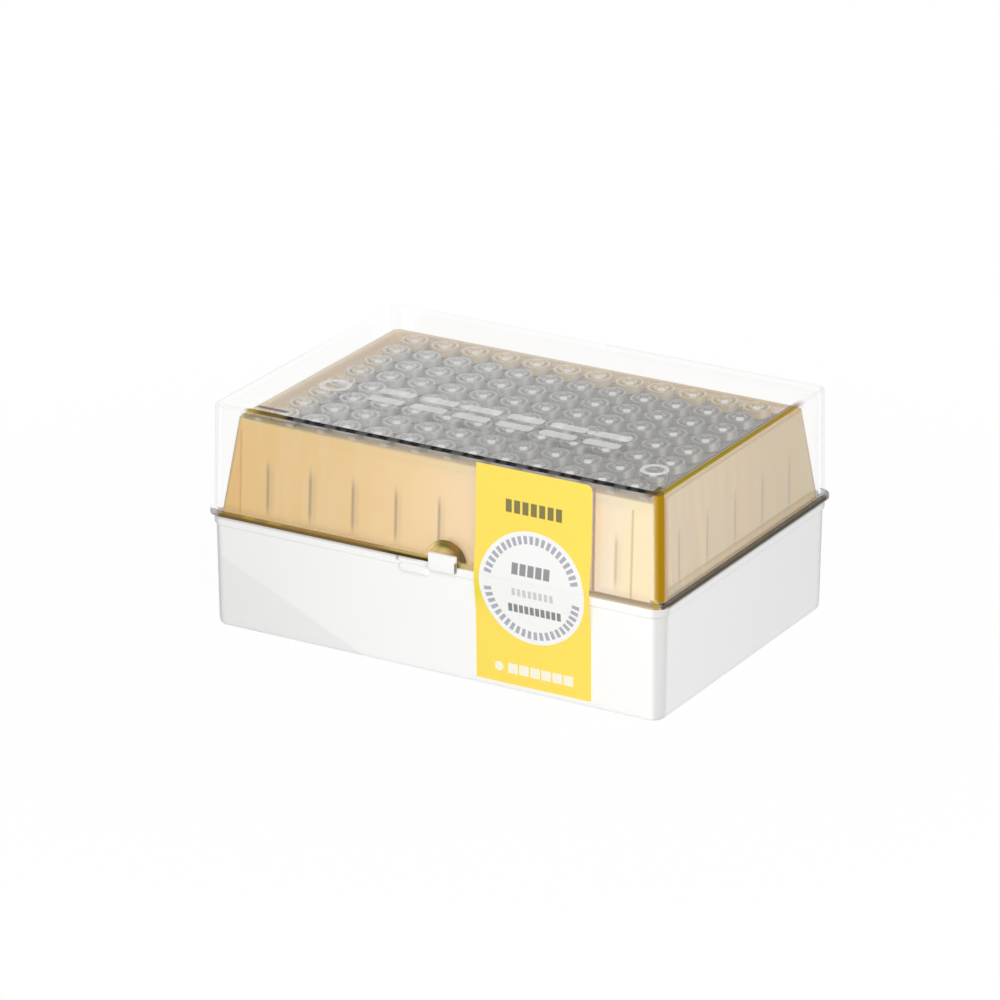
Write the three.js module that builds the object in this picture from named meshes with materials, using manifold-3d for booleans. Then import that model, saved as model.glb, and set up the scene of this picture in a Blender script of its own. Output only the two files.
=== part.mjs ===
// A hinged rack box of positive-displacement pipette tips.
// Millimetres, +X along the box's long side, -Y towards its front, +Z up, z = 0 at the underside.
// A white base holds an amber rack with 96 tips; a clear lid closes over it on two moulded hinges.
import * as THREE from 'three';
import { mergeVertices } from 'three/addons/utils/BufferGeometryUtils.js';
import Module from 'manifold-3d';

const wasm = await Module();
wasm.setup();

// ---- Driving dimensions ----

const TIP_PITCH = 9;
const COLUMNS = 12;
const ROWS = 8;

const CORNER_RADIUS = 4; // plan radius of the base's and lid's vertical corners
const CORNER_STEPS = 4; // straight steps in each quarter-round corner

const BASE_HEIGHT = 29.4;
const BASE_FLOOR = 1.8; // thickness
const LIP_HEIGHT = 2.1; // the base's outward rim lip
const POST_TOP = 24; // the rack stands on the base's inner posts at this height
const POST_WIDTH = 1.6;
const POST_REACH = 2.4; // how far a post stands in from its wall
const POST_PLACES = { x: [-40, 0, 40], y: [-21.6, 21.6] }; // along the long walls and the short ones

const CLEARANCE = 0.3; // between pieces that touch

const RACK_TOP = 54.3;
const RACK_SHOULDER = 30.2; // where the skirt ends and the taper starts
const DECK_TOP = 52.3;
const DECK_UNDERSIDE = 50.9;
const RIB_TOP = 45; // the rack's stiffening ribs run out into the wall here
const RIB_WIDTH = 1;
const RIB_ROOT = 0.7; // how deep a rib's root is buried in the wall
// Each wall's ribs: how many, how far apart, and how far their roots and inner edges are from the middle.
const LONG_WALL_RIBS = { count: 9, pitch: 12.3, root: 40.7, edge: 38.6 };
const SHORT_WALL_RIBS = { count: 5, pitch: 14.4, root: 60.2, edge: 58.9 };

const LID_TOP = 59.2;
const LID_CEILING = 57.8;
const FLANGE_TOP = 31;
const FLANGE_BOTTOM = BASE_HEIGHT + CLEARANCE;
const FLANGE_FRONT = 45.2; // the flange's half size from front to back

const HINGE_X = 36; // each hinge's distance from the middle of the box
const HINGE_Y = 47.1; // axis
const HINGE_Z = 29.4; // axis
const BARREL_RADIUS = 1.9;
const BARREL_LENGTH = 8;
const TRUNNION_RADIUS = 0.9;
const EAR_RADIUS = 2.1;
const EAR_WIDTH = 2;

const LATCH_X = 4.4; // middle of the latch tab and of the hood above it
const LATCH_HALF_WIDTH = 3.85;
const LATCH_TOP = 32.9;
const LATCH_FRONT = -46.7;
const LATCH_BACK = -45.5;
const HOOD_OUTER_RADIUS = 5.9;
const HOOD_INNER_RADIUS = 4.7;
const HOOD_DEPTH = 1.3;
const HOOD_WEB_DEPTH = 0.75; // the thinner half disc inside the rib, against the wall

const LEDGE_LEFT = -8.8;
const LEDGE_RIGHT = 0.3;

const SEAL_LEFT = 12.7;
const SEAL_RIGHT = 44.7;
const SEAL_THICKNESS = 0.25;

const HEAD_RADIUS = 3.7; // the capillary's ring-shaped head
const HEAD_TOP = 55;
const NECK_RADIUS = 1.95;
const HOLE_RADIUS = 2.6;
const MOUTH_RADIUS = 2.9; // of the cone inside the head
const BORE_RADIUS = 1.25; // where that cone meets the tapering bore
const BORE_TOP = 51.4;
const TIP_POINT = 5; // height of the tips' lower ends
const TIP_POINT_RADIUS = 0.6;
const WEB_RADIUS = 0.6; // of the bars that link the capillaries of a column
const TIP_SIDES = 6;

const PISTON_POINT = 12; // height of the pistons' lower ends
const PISTON_RADIUS = 0.9;
const PISTON_HEAD_RADIUS = 2.2;
const PISTON_HEAD_TOP = 55.6;
const STRIP_WIDTH = 1.6; // of the strip that links the pistons of a column
const STRIP_TOP = 55.9;

// ---- Outlines: half sizes along X and Y of each ring, with its height ----

const BASE_RINGS = [
  { x: 62.4, y: 42.7, z: 0 },
  { x: 63, y: 43.3, z: 0.5 },
  { x: 63.3, y: 43.6, z: 1.5 },
  { x: 63.6, y: 44.1, z: BASE_HEIGHT - LIP_HEIGHT - 0.4 },
  { x: 64.1, y: 44.6, z: BASE_HEIGHT - LIP_HEIGHT },
  { x: 64.1, y: 44.6, z: BASE_HEIGHT - 0.3 },
  { x: 63.8, y: 44.3, z: BASE_HEIGHT },
  { x: 62.5, y: 43, z: BASE_HEIGHT },
  { x: 61.9, y: 42.4, z: 3.4 },
  { x: 61.2, y: 41.7, z: 2.2 },
  { x: 60.4, y: 40.9, z: BASE_FLOOR },
];

const RACK_RINGS = [
  { x: 57.6, y: 36.8, z: DECK_UNDERSIDE },
  { x: 58.2, y: 37.4, z: DECK_UNDERSIDE - 0.6 },
  { x: 60.5, y: 41.1, z: RACK_SHOULDER },
  { x: 60.3, y: 40.8, z: POST_TOP + CLEARANCE },
  { x: 61.6, y: 42.1, z: POST_TOP + CLEARANCE },
  { x: 61.9, y: 42.45, z: RACK_SHOULDER },
  { x: 59.25, y: 38.3, z: RACK_TOP - 0.6 },
  { x: 58.7, y: 37.75, z: RACK_TOP },
  { x: 57.6, y: 36.65, z: RACK_TOP },
  { x: 57.3, y: 36.4, z: DECK_TOP },
];

const LID_RINGS = [
  { x: 61, y: 42, z: LID_CEILING },
  { x: 61.6, y: 42.6, z: LID_CEILING - 0.6 },
  { x: 62.3, y: 42.9, z: FLANGE_BOTTOM },
  { x: 65, y: FLANGE_FRONT, z: FLANGE_BOTTOM },
  { x: 65, y: FLANGE_FRONT, z: FLANGE_TOP },
  { x: 63.7, y: 44.3, z: FLANGE_TOP },
  { x: 62.95, y: 43.9, z: LID_TOP - 1 },
  { x: 62.6, y: 43.55, z: LID_TOP - 0.3 },
  { x: 62, y: 42.95, z: LID_TOP },
];

const OUTER_SIZE = { x: 64.1, y: 44.6 }; // the ring whose corners have CORNER_RADIUS

// ---- Helpers ----

// A manifold solid from a closed three.js geometry.
function solid(geometry) {
  const bare = geometry.clone();
  bare.deleteAttribute('normal');
  bare.deleteAttribute('uv');
  const merged = mergeVertices(bare, 1e-4);
  return new wasm.Manifold(
    new wasm.Mesh({
      numProp: 3,
      vertProperties: merged.getAttribute('position').array,
      triVerts: new Uint32Array(merged.index.array),
    }),
  );
}

// A three.js geometry from a manifold solid.
function geometryOf(body) {
  const mesh = body.getMesh();
  const geometry = new THREE.BufferGeometry();
  geometry.setAttribute('position', new THREE.BufferAttribute(mesh.vertProperties, 3));
  geometry.setIndex(new THREE.BufferAttribute(mesh.triVerts, 1));
  geometry.computeVertexNormals();
  return geometry;
}

// One rounded-rectangle ring, anticlockwise seen from above. Inner rings keep their corners concentric.
function ringPoints({ x, y, z }) {
  const inset = Math.min(OUTER_SIZE.x - x, OUTER_SIZE.y - y);
  const radius = Math.max(CORNER_RADIUS - inset, 1);
  const points = [];
  for (let corner = 0; corner < 4; corner++) {
    const centreX = (corner === 0 || corner === 3 ? 1 : -1) * (x - radius);
    const centreY = (corner < 2 ? 1 : -1) * (y - radius);
    for (let step = 0; step <= CORNER_STEPS; step++) {
      const angle = ((corner + step / CORNER_STEPS) * Math.PI) / 2;
      points.push([centreX + radius * Math.cos(angle), centreY + radius * Math.sin(angle), z]);
    }
  }
  return points;
}

// A closed body skinned over rings in the order given and capped at both ends.
// The first cap faces down and the last faces up.
function loft(rings) {
  const loops = rings.map(ringPoints);
  const sides = loops[0].length;
  const index = [];
  for (let ring = 1; ring < loops.length; ring++) {
    const from = (ring - 1) * sides;
    const to = ring * sides;
    for (let side = 0; side < sides; side++) {
      const next = (side + 1) % sides;
      index.push(from + side, from + next, to + next);
      index.push(from + side, to + next, to + side);
    }
  }
  const last = (loops.length - 1) * sides;
  for (let side = 1; side < sides - 1; side++) {
    index.push(0, side + 1, side);
    index.push(last, last + side, last + side + 1);
  }
  const geometry = new THREE.BufferGeometry();
  geometry.setAttribute('position', new THREE.Float32BufferAttribute(loops.flat(2), 3));
  geometry.setIndex(index);
  return solid(geometry);
}

// A box between two corners.
function block(low, high) {
  const size = high.map((value, axis) => value - low[axis]);
  const geometry = new THREE.BoxGeometry(...size);
  geometry.translate(...high.map((value, axis) => (value + low[axis]) / 2));
  return solid(geometry);
}

// An outline of [y, z] points, anticlockwise seen from +X, extruded from one x to another.
function extrudeAlongX(outline, fromX, toX) {
  const shape = new THREE.Shape(outline.map(([y, z]) => new THREE.Vector2(y, z)));
  const geometry = new THREE.ExtrudeGeometry(shape, { depth: toX - fromX, bevelEnabled: false });
  // The shape's plane turns upright, so that its x runs along +Y, its y along +Z and its depth along +X.
  const upright = new THREE.Matrix4().makeBasis(
    new THREE.Vector3(0, 1, 0),
    new THREE.Vector3(0, 0, 1),
    new THREE.Vector3(1, 0, 0),
  );
  geometry.applyMatrix4(upright);
  geometry.translate(fromX, 0, 0);
  return solid(geometry);
}

// A cylinder lying along X.
function rodAlongX(radius, length, sides) {
  const geometry = new THREE.CylinderGeometry(radius, radius, length, sides);
  geometry.rotateZ(Math.PI / 2);
  return solid(geometry);
}

// A profile of [radius, height] points turned about Z.
function turned(profile, sides) {
  const points = profile.map(([radius, height]) => new THREE.Vector2(radius, height));
  const geometry = new THREE.LatheGeometry(points, sides);
  geometry.rotateX(Math.PI / 2);
  return solid(geometry);
}

function joined(bodies) {
  return bodies.reduce((all, body) => all.add(body));
}

// Evenly spaced places, centred on zero.
function places(count, pitch) {
  return Array.from({ length: count }, (_, i) => (i - (count - 1) / 2) * pitch);
}

// ---- Base: one white moulding ----

// Upright posts against the inside of the walls, rooted in the floor and in the wall behind them.
function basePosts() {
  const posts = [];
  const bottom = BASE_FLOOR - 0.5;
  const half = POST_WIDTH / 2;
  const longWall = 42.6; // just inside the wall's thickness, for a root
  const shortWall = 62.1;
  for (const x of POST_PLACES.x) {
    const post = block([x - half, longWall - POST_REACH, bottom], [x + half, longWall, POST_TOP]);
    posts.push(post, post.mirror([0, 1, 0]));
  }
  for (const y of POST_PLACES.y) {
    const post = block([shortWall - POST_REACH, y - half, bottom], [shortWall, y + half, POST_TOP]);
    posts.push(post, post.mirror([1, 0, 0]));
  }
  return joined(posts);
}

// The springy tab that stands in front of the lid's flange, on a root that grows out of the rim lip.
function latchTab() {
  const outline = [
    [LATCH_FRONT + 0.5, BASE_HEIGHT - 1.3],
    [-43.8, BASE_HEIGHT - 2.2],
    [-43.8, BASE_HEIGHT],
    [LATCH_BACK, BASE_HEIGHT],
    [LATCH_BACK, LATCH_TOP - 0.2],
    [LATCH_BACK - 0.2, LATCH_TOP],
    [LATCH_FRONT + 0.4, LATCH_TOP],
    [LATCH_FRONT, LATCH_TOP - 0.4],
    [LATCH_FRONT, BASE_HEIGHT - 0.6],
  ];
  return extrudeAlongX(outline, LATCH_X - LATCH_HALF_WIDTH, LATCH_X + LATCH_HALF_WIDTH);
}

// The rounded ledge beside the tab, for the thumb that opens the lid.
function thumbLedge() {
  const outline = [
    [-44.9, 25.7],
    [-45.8, 26.6],
    [-46.1, 27.3],
    [-45.9, 28],
    [-45.3, 28.4],
    [-43.6, 28.4],
    [-43.6, 25.2],
  ];
  return extrudeAlongX(outline, LEDGE_LEFT, LEDGE_RIGHT);
}

// One plate of a hinge, with its hole for the lid's trunnion.
function hingeEar(fromX) {
  const outline = [];
  for (let step = 0; step <= 8; step++) {
    const angle = (-0.25 + (step / 8) * 1.15) * Math.PI;
    outline.push([HINGE_Y + EAR_RADIUS * Math.cos(angle), HINGE_Z + EAR_RADIUS * Math.sin(angle)]);
  }
  outline.push([44.9, 28.9]);
  outline.push([43.7, 28.9]);
  outline.push([43.7, 23.6]);
  const plate = extrudeAlongX(outline, fromX, fromX + EAR_WIDTH);
  const hole = rodAlongX(TRUNNION_RADIUS + CLEARANCE, 3 * EAR_WIDTH, 10);
  return plate.subtract(hole.translate([fromX + EAR_WIDTH / 2, HINGE_Y, HINGE_Z]));
}

function makeBase() {
  const ears = [];
  for (const x of [-HINGE_X, HINGE_X]) {
    ears.push(hingeEar(x - BARREL_LENGTH / 2 - CLEARANCE - EAR_WIDTH));
    ears.push(hingeEar(x + BARREL_LENGTH / 2 + CLEARANCE));
  }
  return joined([loft(BASE_RINGS), basePosts(), latchTab(), thumbLedge(), ...ears]);
}

// ---- Rack: one amber moulding with ribs inside its walls and holes in its deck ----

// A wedge between the sloping inside of a wall and an upright inner edge, for the wall at -Y.
function rib({ root, edge }) {
  const outline = [
    [-root - RIB_ROOT, POST_TOP + CLEARANCE],
    [-edge, POST_TOP + CLEARANCE],
    [-edge, RIB_TOP],
    [-edge - RIB_ROOT, RIB_TOP],
    [-root - RIB_ROOT, RACK_SHOULDER],
  ];
  return extrudeAlongX(outline, -RIB_WIDTH / 2, RIB_WIDTH / 2);
}

function rackRibs() {
  const ribs = [];
  for (const x of places(LONG_WALL_RIBS.count, LONG_WALL_RIBS.pitch)) {
    const front = rib(LONG_WALL_RIBS).translate([x, 0, 0]);
    ribs.push(front, front.mirror([0, 1, 0]));
  }
  for (const y of places(SHORT_WALL_RIBS.count, SHORT_WALL_RIBS.pitch)) {
    const right = rib(SHORT_WALL_RIBS).rotate([0, 0, 90]).translate([0, y, 0]);
    ribs.push(right, right.mirror([1, 0, 0]));
  }
  return joined(ribs);
}

function deckHoles() {
  const hole = turned(
    [
      [0, DECK_UNDERSIDE - 1],
      [HOLE_RADIUS, DECK_UNDERSIDE - 1],
      [HOLE_RADIUS, DECK_TOP + 1],
      [0, DECK_TOP + 1],
    ],
    TIP_SIDES,
  );
  const holes = [];
  for (const x of places(COLUMNS, TIP_PITCH)) {
    for (const y of places(ROWS, TIP_PITCH)) {
      holes.push(hole.translate([x, y, 0]));
    }
  }
  return joined(holes);
}

function makeRack() {
  return joined([loft(RACK_RINGS), rackRibs()]).subtract(deckHoles());
}

// ---- Lid: one clear moulding ----

// The half-round rib over the latch tab, standing out from the lid's front wall as far as the flange does,
// and the thinner web that fills it.
function latchHood() {
  const rib = halfDisc(HOOD_OUTER_RADIUS, HOOD_DEPTH).subtract(halfDisc(HOOD_INNER_RADIUS, HOOD_DEPTH));
  const web = halfDisc(HOOD_INNER_RADIUS + 0.2, HOOD_WEB_DEPTH);
  return joined([rib, web]).translate([LATCH_X, HOOD_DEPTH - FLANGE_FRONT, FLANGE_BOTTOM + 0.4]);
}

// A half disc that stands on its diameter along X, with its back at y = 0 and its thickness towards -Y.
function halfDisc(radius, depth) {
  const shape = new THREE.Shape();
  shape.absarc(0, 0, radius, 0, Math.PI, false);
  const geometry = new THREE.ExtrudeGeometry(shape, { depth, bevelEnabled: false, curveSegments: 16 });
  geometry.rotateX(Math.PI / 2);
  return solid(geometry);
}

// A barrel with a trunnion at each end, on a strap from the flange.
function hingeKnuckle(x) {
  const barrel = rodAlongX(BARREL_RADIUS, BARREL_LENGTH, 12);
  const trunnions = rodAlongX(TRUNNION_RADIUS, BARREL_LENGTH + 2 * (EAR_WIDTH + CLEARANCE), 10);
  const strap = block(
    [-BARREL_LENGTH / 2, 44.5 - HINGE_Y, FLANGE_BOTTOM - HINGE_Z],
    [BARREL_LENGTH / 2, 0, FLANGE_TOP - HINGE_Z],
  );
  return joined([barrel, trunnions, strap]).translate([x, HINGE_Y, HINGE_Z]);
}

// The cuts that clear the ears: one through the flange on each side of a knuckle.
function earCuts(x) {
  const nearX = BARREL_LENGTH / 2;
  const farX = nearX + EAR_WIDTH + 2 * CLEARANCE;
  const low = [nearX, 44.6, FLANGE_BOTTOM - 1];
  const high = [farX, 46, FLANGE_TOP + 1];
  const right = block(low, high);
  const left = block([-farX, low[1], low[2]], [-nearX, high[1], high[2]]);
  return joined([left, right]).translate([x, 0, 0]);
}

function makeLid() {
  const cuts = joined([earCuts(-HINGE_X), earCuts(HINGE_X)]);
  const shell = joined([loft(LID_RINGS), latchHood()]).subtract(cuts);
  return joined([shell, hingeKnuckle(-HINGE_X), hingeKnuckle(HINGE_X)]);
}

// ---- Paper seal: one strip over the seam, slit where the lid meets the base ----

// A strip of even thickness whose back follows the points given, from the top down.
function sealStrip(back) {
  const front = back.map(([y, z]) => [y - SEAL_THICKNESS, z]).reverse();
  return extrudeAlongX([...front, ...back], SEAL_LEFT, SEAL_RIGHT);
}

function makeUpperSeal() {
  return sealStrip([
    [-44.05, 57.8],
    [-44.33, 39],
    [-45.35, FLANGE_TOP + 0.2],
    [-45.35, FLANGE_BOTTOM + 0.05],
  ]);
}

function makeLowerSeal() {
  return sealStrip([
    [-45.3, BASE_HEIGHT + 0.05],
    [-45, BASE_HEIGHT - LIP_HEIGHT],
    [-44.12, 19],
    [-43.75, 1.7],
  ]);
}

// ---- Tips: a capillary with a ring-shaped head, and the piston that works inside it ----

// Eight capillaries in a column, their necks linked under the deck by thin three-sided webs into one body.
function makeCapillaryColumn() {
  const profile = [
    [0, TIP_POINT],
    [TIP_POINT_RADIUS, TIP_POINT],
    [NECK_RADIUS, DECK_TOP + CLEARANCE],
    [HEAD_RADIUS, DECK_TOP + CLEARANCE],
    [HEAD_RADIUS, HEAD_TOP],
    [MOUTH_RADIUS, HEAD_TOP],
    [BORE_RADIUS, BORE_TOP],
    [0, TIP_POINT + 3],
  ];
  const capillary = turned(profile, TIP_SIDES);
  const overlap = 1.5; // of a web and each neck, so that its ends stay buried in their walls
  const webLength = TIP_PITCH - 2 * overlap;
  const web = turned(
    [
      [0, 0],
      [WEB_RADIUS, 0],
      [WEB_RADIUS, webLength],
      [0, webLength],
    ],
    3,
  ).rotate([-90, 0, 0]);
  const rows = places(ROWS, TIP_PITCH);
  const capillaries = rows.map((y) => capillary.translate([0, y, 0]));
  const gaps = rows.slice(0, -1);
  const webs = gaps.map((y) => web.translate([0, y + overlap, DECK_UNDERSIDE - 1]));
  return joined([...capillaries, ...webs]);
}

// Eight pistons in a column, their heads linked above the capillaries by a thin strip into one body.
function makePistonColumn() {
  const profile = [
    [0, PISTON_POINT],
    [PISTON_RADIUS, BORE_TOP - 0.1],
    [PISTON_HEAD_RADIUS, PISTON_HEAD_TOP],
    [0, PISTON_HEAD_TOP],
  ];
  const piston = turned(profile, TIP_SIDES);
  const rows = places(ROWS, TIP_PITCH);
  const half = STRIP_WIDTH / 2;
  const strip = block([-half, rows[0], HEAD_TOP + CLEARANCE], [half, rows[ROWS - 1], STRIP_TOP]);
  return joined([...rows.map((y) => piston.translate([0, y, 0])), strip]);
}

// ---- Materials ----

const white = new THREE.MeshStandardMaterial({ color: 0xf4f4f2, roughness: 0.4, metalness: 0 });
const amber = new THREE.MeshStandardMaterial({ color: 0xe8b45a, roughness: 0.25, metalness: 0 });
amber.transparent = true;
amber.opacity = 0.75;
const clear = new THREE.MeshStandardMaterial({ color: 0xf2f5f6, roughness: 0.05, metalness: 0 });
clear.transparent = true;
clear.opacity = 0.25;
const natural = new THREE.MeshStandardMaterial({ color: 0xcfd0cf, roughness: 0.3, metalness: 0 });
const pistonWhite = new THREE.MeshStandardMaterial({ color: 0xf0f0ee, roughness: 0.35, metalness: 0 });
const yellow = new THREE.MeshStandardMaterial({ color: 0xfde666, roughness: 0.55, metalness: 0 });

// ---- Assembly ----

// The box is drawn about the middle of its footprint. The hinges stand out further behind than the latch
// does in front, so it is moved to put the middle of the whole object over the origin.
const box = new THREE.Group();
box.position.y = -(HINGE_Y + EAR_RADIUS + LATCH_FRONT) / 2;

function place(name, geometry, material, x = 0) {
  const mesh = new THREE.Mesh(geometry, material);
  mesh.name = name;
  mesh.position.x = x;
  box.add(mesh);
}

place('base', geometryOf(makeBase()), white);
place('rack', geometryOf(makeRack()), amber);
place('lid', geometryOf(makeLid()), clear);
place('seal_upper', geometryOf(makeUpperSeal()), yellow);
place('seal_lower', geometryOf(makeLowerSeal()), yellow);

const capillaryColumn = geometryOf(makeCapillaryColumn());
const pistonColumn = geometryOf(makePistonColumn());
places(COLUMNS, TIP_PITCH).forEach((x, i) => {
  const number = String(i + 1).padStart(2, '0');
  place(`capillaries_column_${number}`, capillaryColumn, natural, x);
  place(`pistons_column_${number}`, pistonColumn, pistonWhite, x);
});

const tipBox = new THREE.Group();
tipBox.add(box);

export default tipBox;
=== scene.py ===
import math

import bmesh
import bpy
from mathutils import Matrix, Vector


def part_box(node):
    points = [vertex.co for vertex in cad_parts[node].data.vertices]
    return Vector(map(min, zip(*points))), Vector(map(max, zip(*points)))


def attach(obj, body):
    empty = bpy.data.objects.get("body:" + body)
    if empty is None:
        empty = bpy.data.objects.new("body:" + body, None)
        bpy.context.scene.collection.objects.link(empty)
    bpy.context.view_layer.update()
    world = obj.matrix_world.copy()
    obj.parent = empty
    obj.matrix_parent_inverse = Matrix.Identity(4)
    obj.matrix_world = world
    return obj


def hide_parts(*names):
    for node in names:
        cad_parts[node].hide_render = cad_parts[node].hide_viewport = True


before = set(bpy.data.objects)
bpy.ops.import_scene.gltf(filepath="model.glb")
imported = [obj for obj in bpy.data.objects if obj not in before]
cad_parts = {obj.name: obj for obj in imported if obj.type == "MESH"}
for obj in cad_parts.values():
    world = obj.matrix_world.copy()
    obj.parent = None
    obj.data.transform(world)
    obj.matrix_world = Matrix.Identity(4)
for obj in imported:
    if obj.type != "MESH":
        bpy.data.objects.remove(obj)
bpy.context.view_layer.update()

# %% [markdown]
# A hinged rack box of pipette tips. A white base holds an amber rack, 96 tips hang in the rack's deck, and a
# clear lid closes over them. A paper seal is stuck across the seam at the front.
#
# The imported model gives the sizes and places. Every piece here is drawn in millimetres about the middle of
# the box's plan, because that is how a mould maker would draw it, and one transform at the end puts it into
# the frame, in metres.

MM = 0.001

rack_low, rack_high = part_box("rack")
base_low, base_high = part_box("base")
lid_low, lid_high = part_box("lid")
MIDDLE_Y = (rack_low.y + rack_high.y) / 2  # the plan's middle, because the hinges stick out at the back
TO_FRAME = Matrix.Translation((0, MIDDLE_Y, 0)) @ Matrix.Scale(MM, 4)

LID_TOP = lid_high.z / MM
RELIEF = 0.2  # the lid's raised marks are this tall, and its top face is this far below them
FLANGE_X = lid_high.x / MM  # half the length of the lid's flange
FLANGE_Y = (MIDDLE_Y - lid_low.y) / MM
RIM_X = base_high.x / MM  # half the length of the base's rim
RACK_TOP = rack_high.z / MM
SKIRT_X = rack_high.x / MM
SKIRT_Y = (rack_high.y - MIDDLE_Y) / MM
SEAL_LEFT, SEAL_RIGHT = (v.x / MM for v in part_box("seal_upper"))
SEAL_MIDDLE = (SEAL_LEFT + SEAL_RIGHT) / 2
SEAL_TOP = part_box("seal_upper")[1].z / MM
SEAL_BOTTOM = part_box("seal_lower")[0].z / MM

BASE_HEIGHT = 29.4
FLANGE_BOTTOM = BASE_HEIGHT + 0.3
FLANGE_TOP = FLANGE_BOTTOM + 1.3
CORNER_STEPS = 10  # in each upright corner
TIP_PITCH = 9.0
COLUMNS = 12
ROWS = 8

size = [round(v, 1) for v in (FLANGE_X * 2, FLANGE_Y * 2, LID_TOP)]
print("box", size, "mm, plan middle", round(MIDDLE_Y, 5))

# %% [markdown]
# ## The camera
# The box is seen from the front right and from above, through a long lens, so its edges stay nearly
# parallel. The camera stands on a sphere round a point half way up the box.

# %% The camera
VIEW_AZIMUTH = math.radians(29.693)
VIEW_ELEVATION = math.radians(21.124)
VIEW_ROLL = math.radians(0.202)
VIEW_DISTANCE = 1.43767
VIEW_TARGET = Vector((0, MIDDLE_Y, 0.030))

camera_data = bpy.data.cameras.new("camera")
camera_data.sensor_width = 36
camera_data.lens = 206.96
camera_data.shift_x = -0.0208
camera_data.shift_y = 0.0032
camera_data.clip_start = 0.1
camera_data.clip_end = 20
camera = bpy.data.objects.new("camera", camera_data)
bpy.context.scene.collection.objects.link(camera)
back = Vector(
    (
        math.sin(VIEW_AZIMUTH) * math.cos(VIEW_ELEVATION),
        -math.cos(VIEW_AZIMUTH) * math.cos(VIEW_ELEVATION),
        math.sin(VIEW_ELEVATION),
    )
)
camera.location = VIEW_TARGET + back * VIEW_DISTANCE
turn = (-back).to_track_quat("-Z", "Y").to_matrix() @ Matrix.Rotation(VIEW_ROLL, 3, "Z")
camera.rotation_euler = turn.to_euler()
bpy.context.scene.camera = camera
print("camera at", [round(v, 3) for v in camera.location])

# %% [markdown]
# ## Shader arithmetic
# A finish is a small formula, such as "amber, but darker where a rib meets the wall". Wiring Math nodes by
# hand hides that formula, so a Wire wraps one socket, and Python's own operators add the nodes.

# %% Wires and finishes
class Wire:
    """One socket of a node tree. Arithmetic on it adds Math nodes and gives the Wire of their result."""

    def __init__(self, finish, socket):
        self.finish = finish
        self.socket = socket

    def math(self, operation, *values):
        sockets = dict(enumerate(values))
        return self.finish.node("ShaderNodeMath", {"operation": operation}, sockets)

    def __add__(self, other):
        return self.math("ADD", self, other)

    def __sub__(self, other):
        return self.math("SUBTRACT", self, other)

    def __rsub__(self, other):
        return self.math("SUBTRACT", other, self)

    def __mul__(self, other):
        return self.math("MULTIPLY", self, other)

    def __truediv__(self, other):
        return self.math("DIVIDE", self, other)

    def __mod__(self, other):
        return self.math("FLOORED_MODULO", self, other)

    def __lt__(self, other):
        return self.math("LESS_THAN", self, other)

    def __gt__(self, other):
        return self.math("GREATER_THAN", self, other)

    def __abs__(self):
        return self.math("ABSOLUTE", self)

    __radd__ = __add__
    __rmul__ = __mul__

    def root(self):
        return self.math("SQRT", self)

    def lay(self, mask, colour):
        """This colour with another laid over it where the mask is 1."""
        return self.finish.mix(mask, self, colour)

    def rise(self, low, high):
        """0 below low, 1 above high, and a smooth step between."""
        sockets = {"Value": self, "From Min": low, "From Max": high}
        return self.finish.node("ShaderNodeMapRange", {"interpolation_type": "SMOOTHSTEP"}, sockets)

    def band(self, low, high, soft):
        """1 between low and high, with edges of the softness given."""
        return self.rise(low - soft, low + soft) * (1 - self.rise(high - soft, high + soft))


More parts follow.
